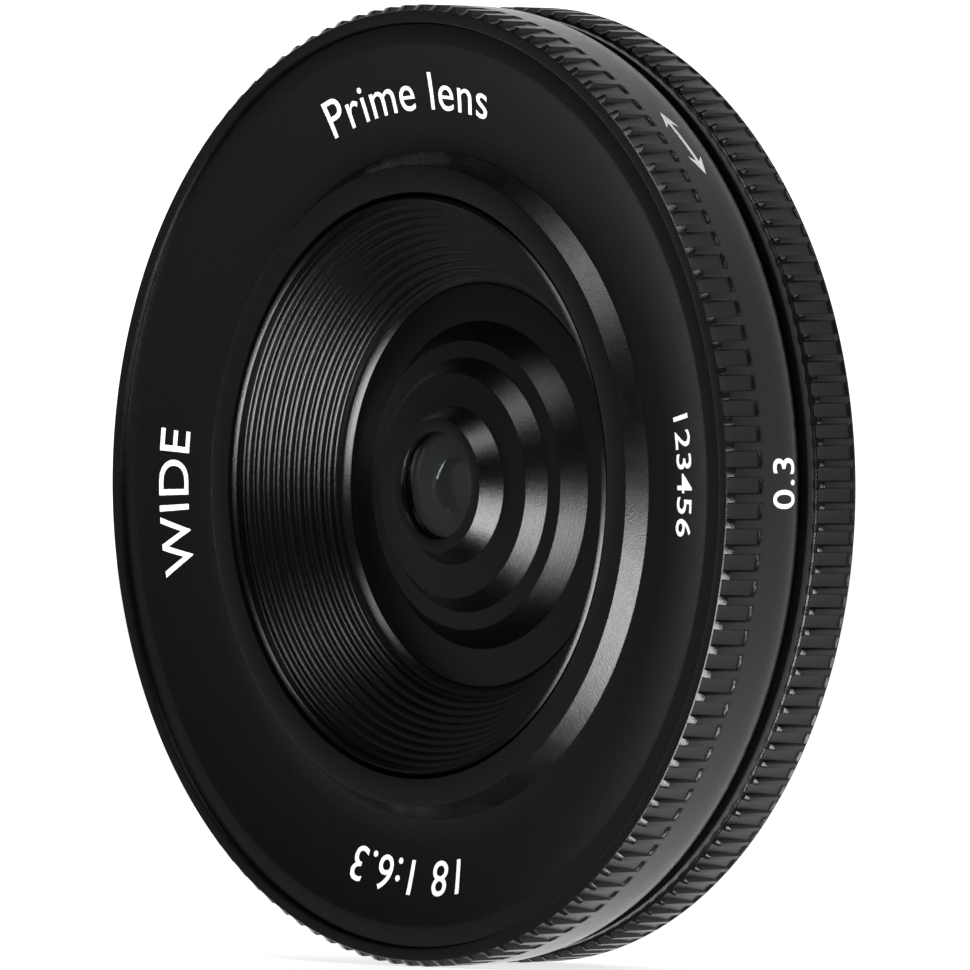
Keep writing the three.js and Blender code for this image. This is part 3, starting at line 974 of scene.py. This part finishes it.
def marks():
    # name, words, letter size, angle, radius of the baseline, and how much the letters are thickened
    face = (
        ("face_words_top", "Prime lens", 3.45, 93, 23.85, 0),
        ("face_words_left", "WIDE", 3.45, 182, 23.85, 0.012),
        ("face_words_bottom", "18 1:6.3", 3.2, 266, 23.85, 0.008),
        ("face_number", "123456", 2.5, 1.5, 24.2, 0.015),
    )
    for name, words, size, degrees, base, weight in face:
        place_mark(name, flat_text(words, size, weight, 1.06), TURNING, on_face(degrees, base))
    nearest = flat_text("0.3", 2.6, 0.02, 1.08)
    place_mark("distance_near", nearest, TURNING, on_band(0, DISTANCE_LINE))
    arrow = flat_shape(double_arrow(length=5.5, head=1.45, half_width=0.52, shaft=0.1))
    arrow.transform(Matrix.Rotation(math.radians(4), 4, "Z"))
    place_mark("turn_arrow", arrow, TURNING, on_band(44.1, 4.05))
    place_mark("distance_far", flat_text("∞", 4.2, 0), TURNING, on_band(THROW, DISTANCE_LINE))


marks()

# ---- pieces kept as they are --------------------------------------------------------

slots = {row["node"]: row["material_slot"] for row in frame["record"]["subparts"]}
for node, piece in frame["nodes"].items():
    piece.data.materials.clear()
    piece.data.materials.append(MATERIALS[slots[node]])

# ---- studio -------------------------------------------------------------------------


def world():
    """White for the camera. The lens itself sees a bright surround behind it and a dim one in front."""
    environment = bpy.data.worlds.new("studio")
    bpy.context.scene.world = environment
    environment.use_nodes = True
    nodes = Nodes(environment.node_tree)
    environment.node_tree.nodes.clear()
    direction = nodes.add("ShaderNodeTexCoord").outputs["Generated"]
    x, y, z = nodes.add("ShaderNodeSeparateXYZ", {0: direction}).outputs
    steepness = nodes.math("SUBTRACT", nodes.math("ABSOLUTE", z), nodes.math("MULTIPLY", y, 1.2))
    behind = nodes.math("MULTIPLY", nodes.ramp(y, -0.42, 0.6), nodes.ramp(steepness, 0.8, 0.35))
    brighter_low = nodes.math("MULTIPLY_ADD", z, -0.3, 0.95)
    behind = nodes.math("MULTIPLY", behind, nodes.math("MULTIPLY_ADD", x, -0.42, brighter_low))
    left = nodes.math("MULTIPLY", nodes.ramp(x, 0.2, -0.3), nodes.ramp(z, 0.6, -0.35, 0, 0.21))
    ahead = nodes.math("MULTIPLY", left, nodes.ramp(nodes.math("ABSOLUTE", z), 0.75, 0.4))
    lit = nodes.math("ADD", nodes.math("ADD", behind, ahead), 0.02)
    seen = nodes.add("ShaderNodeLightPath").outputs["Is Camera Ray"]
    strength = nodes.math("MAXIMUM", lit, seen)
    background = nodes.add("ShaderNodeBackground", {"Color": (1, 1, 1, 1), "Strength": strength})
    nodes.add("ShaderNodeOutputWorld", {"Surface": background.outputs[0]})


LIGHT_DISTANCE = 0.5


def softbox(name, azimuth, elevation, width, height, power):
    """An area light that faces the lens. Azimuth is from the front towards +X."""
    data = bpy.data.lights.new(name, "AREA")
    data.shape = "RECTANGLE"
    data.size = width
    data.size_y = height
    data.energy = power
    light = bpy.data.objects.new(name, data)
    bpy.context.scene.collection.objects.link(light)
    side, up = math.radians(azimuth), math.radians(elevation)
    towards = Vector((math.sin(side) * math.cos(up), -math.cos(side) * math.cos(up), math.sin(up)))
    light.location = towards * LIGHT_DISTANCE
    light.rotation_euler = (-towards).to_track_quat("-Z", "Y").to_euler()


def floor():
    """A pale floor just under the lens, left out of its reflections and open to the low softbox."""
    low = cad_bounds[0][2]
    half = 3.0
    corners = [(-half, -half, low), (half, -half, low), (half, half, low), (-half, half, low)]
    piece = new_object("floor", corners, [(0, 1, 2, 3)])
    material, nodes, shader = new_material("pale_floor")
    shader.inputs["Roughness"].default_value = 0.9
    shader.inputs["Emission Color"].default_value = (1, 1, 1, 1)
    shader.inputs["Emission Strength"].default_value = 0.72
    mottle = nodes.noise(nodes.place(), 3, 2)
    color = nodes.mix(nodes.spread(mottle, 0, 1), (0.9, 0.9, 0.9), (0.92, 0.92, 0.92))
    plug(material, shader, Base_Color=color)
    piece.data.materials.append(material)
    piece.visible_glossy = False
    piece.visible_shadow = False
    piece.visible_transmission = False


add_camera()
world()
softbox("low_softbox", azimuth=44, elevation=-37.5, width=0.22, height=0.5, power=5)
softbox("top_softbox", azimuth=32, elevation=56, width=0.22, height=0.2, power=0.75)
floor()
bpy.context.scene.view_settings.view_transform = "Standard"
